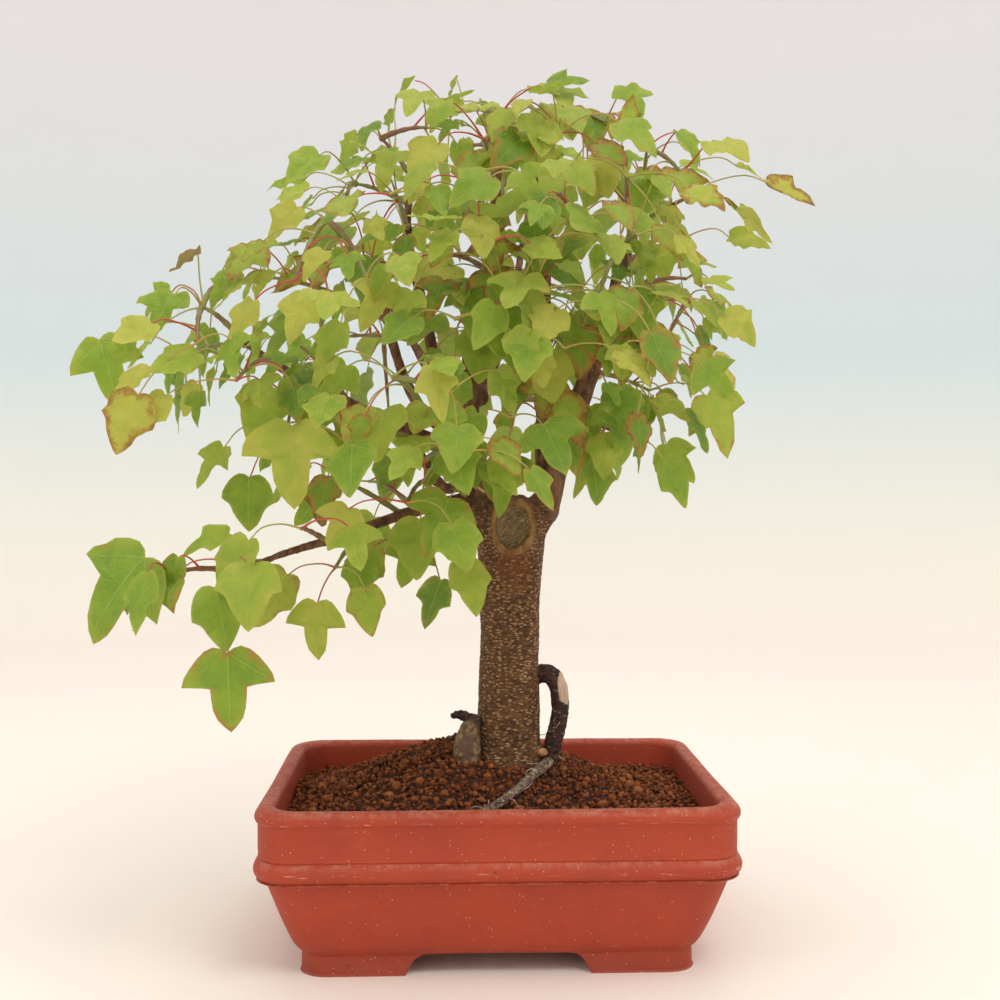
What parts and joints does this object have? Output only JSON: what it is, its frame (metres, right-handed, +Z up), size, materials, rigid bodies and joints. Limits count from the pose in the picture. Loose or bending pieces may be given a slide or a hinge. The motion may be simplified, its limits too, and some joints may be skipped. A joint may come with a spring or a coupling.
{
  "type": "bonsai tree in a pot",
  "caption": "Small maple bonsai with a stout bare trunk, an airy rounded crown of lobed leaves and one long low branch, growing in a rectangular clay pot on feet.",
  "frame": {"origin": "bottom centre of the whole object's bounding box, on the plane the pot's feet stand on", "axes": "+Z up the trunk, -Y towards the front with the old cut, +X to the right seen from the front"},
  "size_m": [0.3272, 0.268, 0.3947],
  "materials": {
    "clay": "matte",
    "soil": "matte",
    "bark": "matte",
    "mesh_plastic": "satin",
    "wire": "satin",
    "leaf": "matte"
  },
  "bodies": {
    "root": {"pot": "clay", "soil": "soil", "trunk": "bark", "drain_screen_left": "mesh_plastic", "drain_screen_right": "mesh_plastic", "drain_wire_left": "wire", "drain_wire_right": "wire", "leafy_shoot_01": "leaf", "leafy_shoot_02": "leaf", "leafy_shoot_03": "leaf", "leafy_shoot_04": "leaf", "leafy_shoot_05": "leaf", "leafy_shoot_06": "leaf", "leafy_shoot_07": "leaf", "leafy_shoot_08": "leaf", "leafy_shoot_09": "leaf", "leafy_shoot_10": "leaf", "leafy_shoot_11": "leaf", "leafy_shoot_12": "leaf", "leafy_shoot_13": "leaf", "leafy_shoot_14": "leaf", "leafy_shoot_15": "leaf", "leafy_shoot_16": "leaf", "leafy_shoot_17": "leaf", "leafy_shoot_18": "leaf", "leafy_shoot_19": "leaf", "leafy_shoot_20": "leaf", "leafy_shoot_21": "leaf", "leafy_shoot_22": "leaf", "leafy_shoot_23": "leaf", "leafy_shoot_24": "leaf", "leafy_shoot_25": "leaf", "leafy_shoot_26": "leaf", "leafy_shoot_27": "leaf", "leafy_shoot_28": "leaf", "leafy_shoot_29": "leaf", "leafy_shoot_30": "leaf", "leafy_shoot_31": "leaf", "leafy_shoot_32": "leaf", "leafy_shoot_33": "leaf", "leafy_shoot_34": "leaf", "leafy_shoot_35": "leaf", "leafy_shoot_36": "leaf", "leafy_shoot_37": "leaf", "leafy_shoot_38": "leaf", "leafy_shoot_39": "leaf", "leafy_shoot_40": "leaf", "leafy_shoot_41": "leaf", "leafy_shoot_42": "leaf", "leafy_shoot_43": "leaf", "leafy_shoot_44": "leaf", "leafy_shoot_45": "leaf", "leafy_shoot_46": "leaf", "leafy_shoot_47": "leaf", "leafy_shoot_48": "leaf", "leafy_shoot_49": "leaf", "leafy_shoot_50": "leaf", "leafy_shoot_51": "leaf", "leafy_shoot_52": "leaf"}
  },
  "joints": []
}
